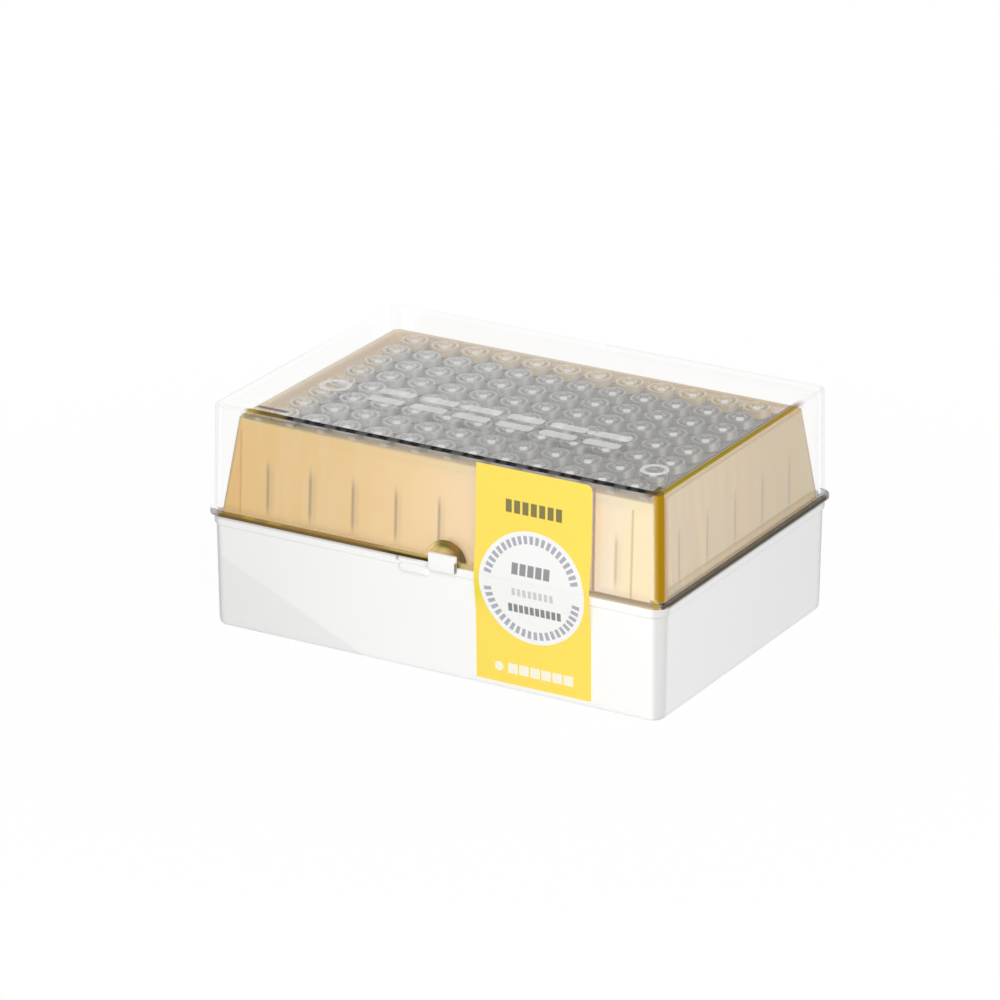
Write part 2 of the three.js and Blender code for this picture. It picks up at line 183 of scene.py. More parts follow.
class Finish:
    """A material, or the world, under construction."""

    def __init__(self, name, kind=bpy.data.materials):
        self.material = kind.new(name)
        self.material.use_nodes = True
        self.tree = self.material.node_tree
        self.tree.nodes.clear()

    def node(self, kind, settings=None, sockets=None, output=0):
        """Adds a node, sets it, fills its sockets with numbers, colours or Wires, and gives one output."""
        made = self.tree.nodes.new(kind)
        for name, value in (settings or {}).items():
            setattr(made, name, value)
        for name, value in (sockets or {}).items():
            socket = made.inputs[name]
            if isinstance(value, Wire):
                self.tree.links.new(value.socket, socket)
            else:
                socket.default_value = (*value, 1) if socket.type == "RGBA" else value
        return Wire(self, made.outputs[output]) if made.outputs else None

    def place(self):
        """The point being shaded, as X, Y and Z wires in millimetres about the plan's middle."""
        point = self.node("ShaderNodeTexCoord", output="Object")
        x = self.node("ShaderNodeSeparateXYZ", {}, {0: point}, "X")
        y = self.node("ShaderNodeSeparateXYZ", {}, {0: point}, "Y")
        z = self.node("ShaderNodeSeparateXYZ", {}, {0: point}, "Z")
        return point, x / MM, (y - MIDDLE_Y) / MM, z / MM

    def noise(self, point, scale, detail=2.0, roughness=0.5):
        """Noise of about 0 to 1 with this many cells a metre."""
        sockets = {"Vector": point, "Scale": scale, "Detail": detail, "Roughness": roughness}
        return self.node("ShaderNodeTexNoise", {}, sockets)

    def mix(self, share, first, second):
        """A colour between two colours."""
        return self.node("ShaderNodeMix", {"data_type": "RGBA"}, {0: share, 6: first, 7: second}, 2)

    def bump(self, height, distance, strength=1.0):
        """A normal from a height wire. The distance is in metres."""
        return self.node("ShaderNodeBump", {}, {"Height": height, "Distance": distance, "Strength": strength})

    def principled(self, **sockets):
        named = {name.replace("_", " "): value for name, value in sockets.items()}
        return self.node("ShaderNodeBsdfPrincipled", {}, named)

    def mix_shader(self, share, first, second):
        return self.node("ShaderNodeMixShader", {}, {0: share, 1: first, 2: second})

    def ray(self, kind):
        """1 for rays of one kind, such as Camera."""
        return self.node("ShaderNodeLightPath", output=f"Is {kind} Ray")

    def clear_to(self, rays, surface):
        """The surface, but the rays given go straight through it."""
        open_way = self.node("ShaderNodeBsdfTransparent", {}, {"Color": (1, 1, 1)})
        return self.mix_shader(rays, surface, open_way)

    def done(self, surface, output="ShaderNodeOutputMaterial"):
        self.node(output, {}, {"Surface": surface})
        print("finish", self.material.name, "with", len(self.tree.nodes), "nodes")
        return self.material


# %% [markdown]
# ## Shared ways of making a solid
# Four kinds of shape make the whole box. A moulding with a tapering wall is a loft: rounded rectangles one
# above another, bridged. A tip is a turned profile. Tabs, ears, ribs and hoods are plates cut from an
# outline. The rest are blocks with eased edges. Each helper returns its own bmesh, so that a part can be
# made once and set down many times.

# %% Helpers for solids
def rounded(bm, geom, width, affect, segments):
    """Bevels edges or corners. The operator's defaults differ from the editor's, so each value is given."""
    settings = {"offset_type": "OFFSET", "profile": 0.5, "material": -1, "clamp_overlap": True}
    bmesh.ops.bevel(bm, geom=geom, offset=width, affect=affect, segments=segments, **settings)


def set_down(whole, part, matrix=None):
    """Adds a copy of one bmesh to another."""
    scratch = bpy.data.meshes.new("scratch")
    part.to_mesh(scratch)
    if matrix is not None:
        scratch.transform(matrix)
        if matrix.determinant() < 0:
            scratch.flip_normals()
    whole.from_mesh(scratch)
    bpy.data.meshes.remove(scratch)


def eased(profile, steps=4):
    """A profile whose points may carry a fourth number: how far that corner is cut back and rounded."""
    points = [Vector(p[:3]) for p in profile]
    out = []
    for i, point in enumerate(points):
        cut = profile[i][3] if len(profile[i]) > 3 else 0
        if not cut:
            out.append(point)
            continue
        start = point + (points[i - 1] - point).normalized() * cut
        end = point + (points[i + 1] - point).normalized() * cut
        for step in range(steps + 1):
            t = step / steps
            out.append(start * (1 - t) ** 2 + point * (2 * t * (1 - t)) + end * t**2)
    return out


def ring(bm, half_x, half_y, z, radius, steps=CORNER_STEPS):
    """A rounded rectangle as one face: a square, scaled, with its four corners bevelled."""
    before = set(bm.faces)
    corners = bmesh.ops.create_grid(bm, x_segments=1, y_segments=1, size=1)["verts"]
    bmesh.ops.scale(bm, vec=(half_x, half_y, 1), verts=corners)
    bmesh.ops.translate(bm, vec=(0, 0, z), verts=corners)
    rounded(bm, corners, radius, "VERTICES", steps)
    return next(face for face in bm.faces if face not in before)


def loft(profile, radius_of, close_first=True, close_last=True):
    """A skin over rounded rectangles. The profile gives half sizes and a height for each of them.

    The rings are bridged while they stand far apart, because rings that nearly touch can be joined
    crosswise, and each one is then set to its true height."""
    bm = bmesh.new()
    apart = 100
    faces = [ring(bm, p.x, p.y, level * apart, radius_of(p)) for level, p in enumerate(profile)]
    rings = [list(face.verts) for face in faces]
    loops = [list(face.edges) for face in faces]
    gone = faces[1:-1]
    if not close_first:
        gone.append(faces[0])
    if not close_last:
        gone.append(faces[-1])
    bmesh.ops.delete(bm, geom=gone, context="FACES_ONLY")
    for lower, upper in zip(loops, loops[1:]):
        bmesh.ops.bridge_loops(bm, edges=lower + upper)
    for p, verts in zip(profile, rings):
        for vert in verts:
            vert.co.z = p.z
    bmesh.ops.recalc_face_normals(bm, faces=bm.faces)
    return bm


def turned(profile, steps):
    """A profile of (radius, height) points spun once about Z."""
    bm = bmesh.new()
    verts = [bm.verts.new((radius, 0, height)) for radius, height in profile]
    edges = [bm.edges.new(pair) for pair in zip(verts, verts[1:])]
    bmesh.ops.spin(
        bm, geom=verts + edges, cent=(0, 0, 0), axis=(0, 0, 1), angle=math.tau, steps=steps, use_merge=True
    )
    bmesh.ops.remove_doubles(bm, verts=bm.verts, dist=1e-4)
    return bm


def plate(outline, thickness, holes=(), rounding=0.0, steps=6, easing=0.0):
    """A solid from z = 0 upwards: an outline with rounded corners, filled round its holes and extruded.
    A hole is (x, y, radius)."""
    bm = bmesh.new()
    verts = [bm.verts.new((x, y, 0)) for x, y in outline]
    face = bm.faces.new(verts)
    if rounding:
        rounded(bm, verts, rounding, "VERTICES", steps)
    if holes:
        bmesh.ops.delete(bm, geom=list(bm.faces), context="FACES_ONLY")
        for x, y, radius in holes:
            bmesh.ops.create_circle(bm, segments=24, radius=radius, matrix=Matrix.Translation((x, y, 0)))
        bmesh.ops.triangle_fill(bm, use_beauty=True, edges=list(bm.edges), normal=(0, 0, 1))
    bottom = list(bm.faces)
    made = bmesh.ops.extrude_face_region(bm, geom=bottom)["geom"]
    top = [item for item in made if isinstance(item, bmesh.types.BMVert)]
    bmesh.ops.translate(bm, vec=(0, 0, thickness), verts=top)
    bmesh.ops.recalc_face_normals(bm, faces=bm.faces)
    if easing:
        ease_edges(bm, easing)
    return bm


def ease_edges(bm, width, segments=3, sharper_than=40):
    """Rounds every edge whose two faces meet at more than this angle."""
    limit = math.radians(sharper_than)
    sharp = [e for e in bm.edges if len(e.link_faces) == 2 and e.calc_face_angle() > limit]
    rounded(bm, sharp, width, "EDGES", segments)


def block(low, high, easing=0.15, segments=3):
    """A box between two corners with eased edges."""
    bm = bmesh.new()
    corners = bmesh.ops.create_cube(bm, size=1)["verts"]
    low, high = Vector(low), Vector(high)
    bmesh.ops.scale(bm, vec=high - low, verts=corners)
    bmesh.ops.translate(bm, vec=(low + high) / 2, verts=corners)
    if easing:
        ease_edges(bm, easing, segments)
    return bm


def places(count, pitch):
    """Evenly spaced places, centred on zero."""
    return [(i - (count - 1) / 2) * pitch for i in range(count)]


def make_piece(bm, name, body, material, nodes, smooth_below=35):
    """Turns a drawing in millimetres into a piece that rides on a body and stands for its nodes."""
    bmesh.ops.remove_doubles(bm, verts=bm.verts, dist=1e-4)
    open_edges = sum(1 for e in bm.edges if not e.is_manifold)
    bm.transform(TO_FRAME)
    mesh = bpy.data.meshes.new(name)
    bm.to_mesh(mesh)
    bm.free()
    piece = bpy.data.objects.new(name, mesh)
    bpy.context.scene.collection.objects.link(piece)
    mesh.materials.append(material)
    mesh.shade_smooth()
    mesh.set_sharp_from_angle(angle=math.radians(smooth_below))
    flatten = piece.modifiers.new("flat faces stay flat", "WEIGHTED_NORMAL")
    flatten.keep_sharp = True
    flatten.weight = 100
    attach(piece, body)
    if nodes:
        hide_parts(*nodes)
    print("piece", name, "with", len(mesh.polygons), "faces and", open_edges, "open edges")
    return piece


# %% [markdown]
# ## White plastic
# The base is polypropylene with an opaque white filler. A mould spark-eroded to a fine satin leaves a grain
# that can only be felt, so it is a faint bump, and the gloss varies a little where the melt flowed.

# %% White plastic
def either(first, second):
    return first.math("MAXIMUM", first, second)


LATCH_LEFT, LATCH_RIGHT, LATCH_TOP = 0.55, 8.25, base_high.z / MM


def white_plastic():
    finish = Finish("white_plastic")
    point, x, y, z = finish.place()
    cloud = finish.noise(point, 18, 3)
    grain = finish.noise(point, 2600, 2)
    tone = finish.mix(cloud, (0.935, 0.935, 0.93), (0.96, 0.96, 0.955))
    # Painted shade and a painted reflection: the wall is greyer towards the left, and most of all low
    # down, where it mirrors the table's far end.
    tone = tone.lay((1 - x.rise(-62, -8)) * 0.42, (0.83, 0.83, 0.825))
    wedge = 1 - (z + (x + 61) * 0.45).rise(18.3, 19.5)
    tone = tone.lay(wedge * 0.46, (0.79, 0.79, 0.785))
    # Painted shade: the rounded upright corners are darker than the faces on either side.
    corner = abs(x).rise(60.7, 62.3) * abs(y).rise(39.0, 41.0)
    tone = tone.lay(corner * 0.85, (0.63, 0.63, 0.62))
    # Painted shade: the base's two ends are greyer than its front.
    side = abs(x).rise(62.6, 63.0) * (abs(y) < 40)
    tone = tone.lay(side * 0.56, (0.76, 0.76, 0.77))
    # The lid's flange shades the lip's top.
    under_side = z.rise(28.3, 29.2) * (x > 62) * (abs(y) < 41)
    under_front = z.rise(28.6, 29.3) * (1 - x.rise(-6, 0)) * (y < -43.6)
    tone = tone.lay(either(under_side * 0.6, under_front * 0.55), (0.40, 0.38, 0.33))
    # The latch tab's right flank stands in its own shade, next to the gap behind it.
    flank = (x > LATCH_RIGHT - 0.25) * (1 - y.rise(-45.9, -45.7)) * z.band(28.6, 31.4, 0.4)
    tone = tone.lay(flank * 0.9, (0.16, 0.15, 0.15))
    # Painted shade: a small mauve mark where a narrow gap at the thumb ledge's left end is in shade.
    gap_shade = x.band(-9.7, -8.9, 0.3) * z.band(28.3, 30.0, 0.3) * (y < -44)
    tone = tone.lay(gap_shade * 0.7, (0.32, 0.25, 0.30))
    surface = finish.principled(
        Base_Color=tone,
        Roughness=0.33 + cloud * 0.1,
        IOR=1.49,
        Normal=finish.bump(grain, 0.00002, 0.35),
    )
    return finish.done(surface)


WHITE = white_plastic()

# %% [markdown]
# ## Amber plastic
# The rack is moulded in a tinted, hazy plastic. Light goes through it, but nothing can be made out behind
# it. A Translucent shader behind a glossy diffuse one gives that at little cost. As painted shade, the tint
# is deeper at the left, where the wall catches less light from inside, and a painted shade line shows
# wherever something rooted in the wall's back blocks the light: at every rib, and at the inner corners. Melt
# that flowed up the walls leaves soft streaks.

# %% Amber plastic
LONG_RIBS = {"count": 9, "pitch": 12.3, "lean": 0.075}
SHORT_RIBS = {"count": 5, "pitch": 14.4, "lean": -0.2}
INNER_CORNER_X = 55.35


def rib_shade_line(finish, along, z, ribs):
    """1 on the painted shade line of each rib, fading out at its two ends, with a broad faint flank beside
    it.
    """
    half = (ribs["count"] - 1) / 2
    upright = along - (45 - z) * ribs["lean"]
    nearest = upright.math("SNAP", upright + ribs["pitch"] / 2, ribs["pitch"])
    away = upright - nearest
    line = 1 - abs(away).rise(0.15, 0.7)
    flank = away.band(0.2, 1.6, 0.6) * 0.25
    ends = z.band(32.5, 44.0, 2.4) * (abs(upright) < (half + 0.5) * ribs["pitch"])
    return line.math("MAXIMUM", line, flank) * ends


def amber_plastic():
    finish = Finish("amber_plastic")
    point, x, y, z = finish.place()
    cloud = finish.noise(point, 25, 3)
    stretched = finish.node("ShaderNodeMapping", {}, {"Vector": point, "Scale": (320, 320, 5)})
    streaks = finish.noise(stretched, 1.0, 3)
    lit = x.rise(-75, 75)
    tint = finish.mix(lit, (0.92, 0.60, 0.20), (0.99, 0.84, 0.52))
    tint = tint.lay(streaks.rise(0.42, 0.72) * 0.2, (0.98, 0.80, 0.52))
    # Painted light: the front is paler towards its right, where more light comes through the rack.
    lit_right_tint = finish.mix(x.rise(45, 55), (0.98, 0.90, 0.74), (1.0, 0.88, 0.57))
    tint = tint.lay(x.rise(-12, 46) * (y < -37) * 0.95, lit_right_tint)
    # At the left the wall is deeper in colour up to a plumb line, and olive at its very edge.
    plumb = x - (45 - z) * 0.075
    tint = tint.lay((1 - plumb.rise(-57.4, -56.2)) * 0.36, (0.88, 0.48, 0.11))
    on_side = (abs(x) + (z - 30) * 0.115).rise(61.0, 61.5)
    on_front = (1 - on_side) * (z < DECK_LINE)
    ribs = rib_shade_line(finish, x, z, LONG_RIBS) * on_front
    side_ribs = rib_shade_line(finish, y, z, SHORT_RIBS) * on_side
    corner = (1 - abs(abs(plumb + 1.85) - INNER_CORNER_X).rise(0.1, 0.5)) * on_front
    # Painted shade: the rack's ends are darker than its front, and darker towards the back. Soft streaks and
    # a line near the front end cross them, and they are greyer at the foot.
    side_shade_tint = finish.mix(y.rise(-40, 40), (0.81, 0.63, 0.38), (0.68, 0.505, 0.25))
    side_streaks = either(streaks.rise(0.35, 0.65) * 0.4, y.band(-38.2, -36.6, 0.7) * 0.5)
    side_shade_tint = side_shade_tint.lay(side_streaks, (0.60, 0.50, 0.34))
    foot = 1 - (z + y * 0.35).rise(18.5, 21.5)
    side_shade_tint = side_shade_tint.lay(foot * 0.6, (0.60, 0.52, 0.36))
    tint = tint.lay(on_side, side_shade_tint)
    # Both outer edges of the rack, as it shows from the front right, are olive.
    olive = (1 - (x - (z - 30) * 0.112).rise(-61.4, -60.6)) * (1 - y.rise(-39, -36))
    tint = tint.lay(olive * (z < DECK_LINE) * 0.8, (0.52, 0.40, 0.16))
    far_edge = (y + (z - 30) * 0.15).rise(40.0, 40.9) * (x > 57)
    tint = tint.lay(far_edge * (z < DECK_LINE) * 0.7, (0.36, 0.28, 0.13))
    # Painted shade: the deck between the tips is dark grey, as in the shade of the tips' heads, darker to the
    # right.
    between_tips = (abs(x) < 53.5) * (abs(y) < 35.5) * (z > DECK_LINE)
    shaded_deck = finish.mix(x.rise(-50, 50), (0.24, 0.23, 0.21), (0.105, 0.092, 0.065))
    tint = tint.lay(between_tips * 0.9, shaded_deck)
    margin = (z > DECK_LINE) * (1 - between_tips) * (abs(x) < 57.9) * (abs(y) < 37.0)
    tint = tint.lay(margin * 0.55, (0.58, 0.49, 0.34))
    yellow = x.band(-56.5, -54.5, 0.6) * (1 - y.rise(-27, -17)) * margin
    tint = tint.lay(yellow * 0.6, (0.60, 0.52, 0.20))
    rim = z.rise(53.6, 54.0) * (1 - between_tips)
    rim_tint = finish.mix(x.rise(-58, -48), (0.80, 0.65, 0.42), (0.60, 0.47, 0.25))
    rim_tint = rim_tint.lay(x.rise(0, 50), (0.46, 0.33, 0.17))
    far_rim = x.rise(-20, 50) * (y > 30)
    rim_tint = rim_tint.lay(far_rim, (0.56, 0.31, 0.02))
    tint = tint.lay(rim * (0.7 + far_rim * 0.25), rim_tint)
    far_corner = rim * x.rise(56.5, 58.5) * y.rise(36.5, 38.5)
    tint = tint.lay(far_corner * 0.9, (0.14, 0.08, 0.02))
    glint = rim * (1 - x.rise(-58.6, -57.6)) * (1 - y.rise(-38, -18))
    tint = tint.lay(glint * 0.9, (0.72, 0.56, 0.05))
    # Painted shade: a soft line at every rib and at the inner corners, where each is rooted in the wall's
    # back and blocks the light coming through it. The lines fade at the right.
    ribs = ribs * (1 - x.rise(42, 50) * 0.35)
    tint = tint.lay((ribs + side_ribs * 0.8) * 0.7, (0.36, 0.25, 0.15))
    corner_shade_tint = finish.mix(x.rise(0, 1), (0.62, 0.36, 0.06), (0.42, 0.32, 0.14))
    tint = tint.lay(corner * 0.5, corner_shade_tint)
    # Painted light: an emission stands for light that has gone round inside the rack and leaves again
    # through its front, most of all at the right.
    painted_glow = finish.mix(x.rise(-35, 5) * on_front, (0, 0, 0), (0.065, 0.030, 0.012))
    surface = finish.principled(
        Base_Color=tint,
        Emission_Color=painted_glow,
        Emission_Strength=1.0,
        Roughness=0.28 + cloud * 0.08,
        IOR=1.49,
        Normal=finish.bump(finish.noise(point, 900, 2), 0.00002, 0.3),
    )
    through = finish.node("ShaderNodeBsdfTranslucent", {}, {"Color": tint})
    return finish.done(finish.mix_shader(0.2, surface, through))


DECK_LINE = 51.5  # the walls are below this height, the deck and its rim above it
AMBER = amber_plastic()

# %% [markdown]
# ## Clear plastic
# The lid is clear polystyrene. What shows of such a lid is its gloss and its edges, so the body of the
# plastic hardly bends light, and a coat gives back the gloss of the true index. Rays that carry lamp light or
# soft light to what is inside go straight through.
#
# A rounded edge works as a narrow lens and gathers the colours behind it, which a flat wall doesn't. Those
# colours are laid along the edges as paint with a cover of 0 to 1: black dashes where the tips stand close
# to the front edge, gold along the right edge and down the near corner, and olive along the flange and over
# the hood. Where nothing but white stands behind an edge it's a faint lilac line.

# %% Paint for the lid's edges
def over(finish, painted, mask, colour, cover):
    """Lays one more patch on what is painted already. Both are a colour and a cover."""
    old_colour, old_cover = painted
    return finish.mix(mask, old_colour, colour), old_cover + (cover - old_cover) * mask


def lid_edge_paint(finish, x, y, z):
    down = LID_TOP - z
    out_x = abs(x) - down * 0.029  # the walls' draft taken off, so an edge has one place at every height
    out_y = abs(y) - down * 0.016
    at_top = z.rise(58.0, 58.3)
    across = (out_x - out_y - 17.2) / 3.6  # 0 on a corner's one side, 1 on its other
    corner = out_x.rise(60.5, 61.1) * out_y.rise(41.3, 41.9)
    lines = 1 - abs(abs(across - 0.5) - 0.42).rise(0.04, 0.2)
    outline = either(out_x.rise(61.8, 62.2), out_y.rise(42.7, 43.1)) * at_top
    seen = 1 - (x < 0) * (y > 0) * 0.75
    painted = (0.44, 0.43, 0.55), either(corner * (0.05 + lines * 0.1), outline * 0.06) * seen

    near = out_x.rise(60.0, 60.4) * out_y.rise(39.0, 39.4) * (x > 0) * (y < 0) * (z > 31.2)
    gold = finish.mix(across.rise(0.1, 0.55), (0.60, 0.36, 0.06), (0.36, 0.20, 0.003))
    gold = gold.lay(across.rise(1.0, 1.3), (0.60, 0.36, 0.20))
    gold = gold.lay(z.rise(58.0, 58.5), (0.20, 0.13, 0.03))
    column = across.rise(0.0, 0.5) * (1 - across.rise(1.1, 1.9))
    painted = over(finish, painted, near * (column > 0.01), gold, column * 0.96)
    # A mauve line runs along the inner side of the golden right edge.
    along_right = (1 - y.rise(26, 33)) * (x > 0) * (y > -41.5)
    mauve = out_x.band(61.4, 62.1, 0.2) * (z > 58.5) * along_right
    painted = over(finish, painted, mauve, (0.17, 0.13, 0.16), 0.6)
    right = out_x.rise(62.0, 62.3) * z.rise(58.15, 58.4) * along_right
    gold = finish.mix(y.rise(-10, 26), (0.33, 0.25, 0.008), (0.40, 0.25, 0.025))
    painted = over(finish, painted, right, gold, 0.97)
    under = out_x.rise(62.4, 62.7) * z.band(57.3, 58.2, 0.3) * along_right
    painted = over(finish, painted, under, (0.80, 0.60, 0.30), 0.5)

    # The front edge: black dashes, olive at the left, and below it a painted grey band where the front tips
    # show through the wall, with a painted highlight at each tip.
    light_gap = 1 - abs((x + 6.5) % TIP_PITCH - TIP_PITCH / 2).rise(0.9, 2.2)
    faint_gap = 1 - abs((x + 2.7) % TIP_PITCH - TIP_PITCH / 2).rise(0.3, 1.4)
    dash = finish.mix(light_gap * 0.9 + faint_gap * 0.35, (0.005, 0.005, 0.006), (0.10, 0.095, 0.09))
    olive = finish.mix(x.rise(-54, -48), (0.58, 0.42, 0.06), (0.17, 0.11, 0.012))
    dash = finish.mix(x.rise(-43.5, -40.5), olive, dash)
    dash = dash.lay(x.rise(58.0, 60.0), (0.10, 0.07, 0.02))
    front = out_y.rise(42.35, 42.65) * z.rise(58.3, 58.6) * (y < 0)
    along_front = x.rise(-54.2, -52.4) * (1 - x.rise(61.5, 62.5))
    painted = over(finish, painted, front * along_front, dash, 0.96)
    below = z.band(56.6, 58.2, 0.3) * x.band(-54, 61, 1.0) * (1 - y.rise(-43.2, -43.0))
    dot = (1 - abs(x % TIP_PITCH - TIP_PITCH / 2).rise(0.6, 1.4)) * z.band(56.7, 57.6, 0.3)
    grey = finish.mix(x.rise(-50, -20), (0.22, 0.19, 0.09), (0.37, 0.33, 0.25))
    grey = grey.lay(x.rise(-20, 40), (0.46, 0.40, 0.33))
    grey = grey.lay(dot * 0.4, (0.74, 0.72, 0.68))
    painted = over(finish, painted, below * (1 - near), grey, 0.6)
    # The seal throws a dark line on the wall at its right.
    beside = x.band(SEAL_RIGHT + 0.15, SEAL_RIGHT + 0.95, 0.25) * (z < 57.5) * (y < -43)
    painted = over(finish, painted, beside * (z > 31.2), (0.30, 0.22, 0.22), 0.75)
    # The rack's front rim is mirrored once more in the lid's top, as a short dark line at the left.
    mirrored = y.band(-41.0, -39.4, 0.5) * x.band(-52.0, -43, 0.8) * (z > 58.5)
    return over(finish, painted, mirrored, (0.13, 0.075, 0.07), 0.75)


def lid_flange_paint(finish, painted, x, y, z):
    """The flange is dark below and golden above, and its colours change along the box."""
    flange = 1 - z.rise(31.0, 31.25)
    at_front = 1 - y.rise(-44.0, -43.6)
    at_side = x.rise(62.9, 63.3) * (1 - at_front)
    low = 1 - z.rise(30.4, 30.9)
    near_latch = x.band(-13, 5, 4)
    golden = finish.mix(near_latch, (0.30, 0.19, 0.05), (0.52, 0.40, 0.12))
    glints = either(x.band(-53.5, -50.5, 0.6), x.band(-46.5, -42.5, 0.8))
    golden = golden.lay(glints, (0.42, 0.31, 0.03))
    dark = finish.mix(near_latch, (0.17, 0.105, 0.035), (0.055, 0.035, 0.006))
    left_half = finish.mix(low, golden, dark)
    right_half = finish.mix(z.band(30.2, 31.2, 0.3), (0.60, 0.50, 0.38), (0.35, 0.27, 0.18))
    to_right = x.rise(10, 45)
    colour = finish.mix(to_right, left_half, right_half)
    cover = 0.92 - to_right * low * 0.2
    fading = x.band(LATCH_RIGHT + 0.5, SEAL_LEFT + 1, 0.8)
    colour = colour.lay(fading, (0.58, 0.48, 0.17))
    painted = over(finish, painted, flange * at_front, colour, cover - fading * 0.35)
    dark_side = z.band(30.1, 31.1, 0.25)
    side = finish.mix(dark_side, (0.30, 0.28, 0.25), (0.062, 0.052, 0.036))
    painted = over(finish, painted, flange * at_side, side, 0.45 + dark_side * 0.45)
    ends = flange * abs(x).rise(60.4, 61.4) * either(at_front * (x < 0), y.rise(40, 42))
    painted = over(finish, painted, ends, (0.38, 0.36, 0.36), 0.75)
    stroke = x.band(-61.6, -59.8, 0.3) * z.band(30.8, 31.9, 0.2) * at_front
    painted = over(finish, painted, stroke, (0.24, 0.17, 0.17), 0.6)
    # A golden haze climbs the wall from the flange.
    haze = z.band(31.25, 31.8, 0.4) * at_front * x.band(-61, 12, 2)
    painted = over(finish, painted, haze, (0.62, 0.45, 0.18), 0.45)
    # The gold of the near corner runs out over the flange, with a dark spot at its right.
    across = (x + y - 16.8) / 3.6
    foot = flange * (x > 60) * (y < -39)
    painted = over(finish, painted, foot * across.band(0.1, 0.6, 0.2), (0.42, 0.30, 0.02), 0.9)
    return over(finish, painted, foot * across.band(0.85, 1.25, 0.2), (0.07, 0.035, 0.02), 0.85)


def lid_hood_paint(finish, painted, x, y, z):
    """Light at the hood's top left, olive at its top and dark brown down its right."""
    hood = (1 - y.rise(-44.45, -44.25)) * z.rise(31.1, 31.3)
    across = x - LATCH_MIDDLE
    shade = finish.mix(across.rise(-3.6, -0.6), (0.80, 0.61, 0.26), (0.17, 0.14, 0.02))
    shade = shade.lay(across.rise(0.3, 2.6), (0.27, 0.15, 0.03))
    shade = shade.lay(across.rise(3.2, 4.6), (0.13, 0.10, 0.045))
    ring = (across * across + (z - 30.1) * (z - 30.1)).rise(9, 21)
    light = finish.mix(across.rise(-1.0, 3.5), (0.80, 0.62, 0.27), (0.30, 0.19, 0.06))
    painted = over(finish, painted, hood, finish.mix(ring, light, shade), 0.75 + ring * 0.2)
    halo = 1 - (across * across + (z - 30.1) * (z - 30.1)).rise(34, 62)
    halo = halo * across.rise(-2.0, 2.0) * (y < -43.2) * (z > 31.2) * (1 - hood)
    return over(finish, painted, halo, (0.46, 0.30, 0.14), halo * 0.5)


def lid_paint(finish, x, y, z):
    painted = lid_edge_paint(finish, x, y, z)
    painted = lid_flange_paint(finish, painted, x, y, z)
    return lid_hood_paint(finish, painted, x, y, z)


# %% [markdown]
# The paint is a matt surface mixed over the clear one. The raised marks have the same plastic under a frost.

# %% Clear plastic
LATCH_MIDDLE = (LATCH_LEFT + LATCH_RIGHT) / 2


def clear_plastic(name, paint=None, frost=0):
    finish = Finish(name)
    point, x, y, z = finish.place()
    surface = finish.principled(
        Base_Color=(0.999, 1.0, 0.999),
        Roughness=0.02,
        IOR=1.01,
        Transmission_Weight=1.0,
        Coat_Weight=0.35 + x.rise(-61.0, -60.0) * 0.65,
        Coat_Roughness=0.03,
        Coat_IOR=1.5,
    )
    if paint:
        colour, cover = paint(finish, x, y, z)
        matt = finish.principled(Base_Color=colour, Roughness=0.5, Specular_IOR_Level=0.0)
        surface = finish.mix_shader(cover, surface, matt)
    if frost:
        grain = finish.bump(finish.noise(point, 4000, 2), 0.00003, 0.6)
        rough = finish.principled(Base_Color=(0.9, 0.9, 0.9), Roughness=0.6, Normal=grain)
        surface = finish.mix_shader(frost, surface, rough)
    return finish.done(finish.clear_to(either(finish.ray("Shadow"), finish.ray("Diffuse")), surface))


CLEAR = clear_plastic("clear_plastic", paint=lid_paint)
FROSTED = clear_plastic("frosted_plastic", frost=0.3)

# %% [markdown]
# ## The tips' plastics
# The capillaries are natural polypropylene, grey and slightly milky. The pistons are white.

# %% Capillary and piston plastic
def tip_tone(finish, x, y, tone):
    """The tips get darker to the right. The last row and the left column are painted in the rack's colour,
    as a painted reflection of the rack, which shows over them through the lid.
    """
    tone = tone.lay(x.rise(-55, 50) * 0.9, (0.078, 0.068, 0.048))
    tone = tone.lay((1 - y.rise(-34, -26)) * 0.12, (0.50, 0.48, 0.43))
    beside_rim = either(y.rise(25, 29), (1 - x.rise(-50, -45)) * 0.65)
    tan = finish.mix(x.rise(-10, 50), (0.57, 0.42, 0.20), (0.46, 0.29, 0.04))
    return finish.mix(beside_rim * 0.93, tone, tan)


def in_head(along):
    """The distance from the middle of the nearest tip, in millimetres."""
    return along % TIP_PITCH - TIP_PITCH / 2


def capillary_plastic():
    finish = Finish("capillary_plastic")
    point, x, y, z = finish.place()
    cloud = finish.noise(point, 700, 2)
    tone = finish.mix(cloud.rise(0.3, 0.7), (0.29, 0.29, 0.28), (0.45, 0.45, 0.44))
    tone = tip_tone(finish, x, y, tone)
    front_side = (1 - y.rise(-34.5, -33.5)) * (z < 54.6)
    tone = tone.lay(front_side * 0.8, (0.52, 0.49, 0.43))
    # Painted light: light comes up through the gap at each head's right. Painted shade: the gap at its left
    # is dark.
    painted_glow = in_head(x).band(2.6, 3.5, 0.4) * (z < 54.8)
    tone = tone.lay(painted_glow * 0.7, (0.53, 0.51, 0.47))
    dark = (1 - in_head(x).rise(-3.2, -1.6)) * (z < 54.2)
    tone = tone.lay(dark * 0.6, (0.14, 0.138, 0.13))
    surface = finish.principled(
        Base_Color=tone,
        Roughness=0.22,
        IOR=1.49,
        Coat_Weight=0.3,
    )
    return finish.done(surface)


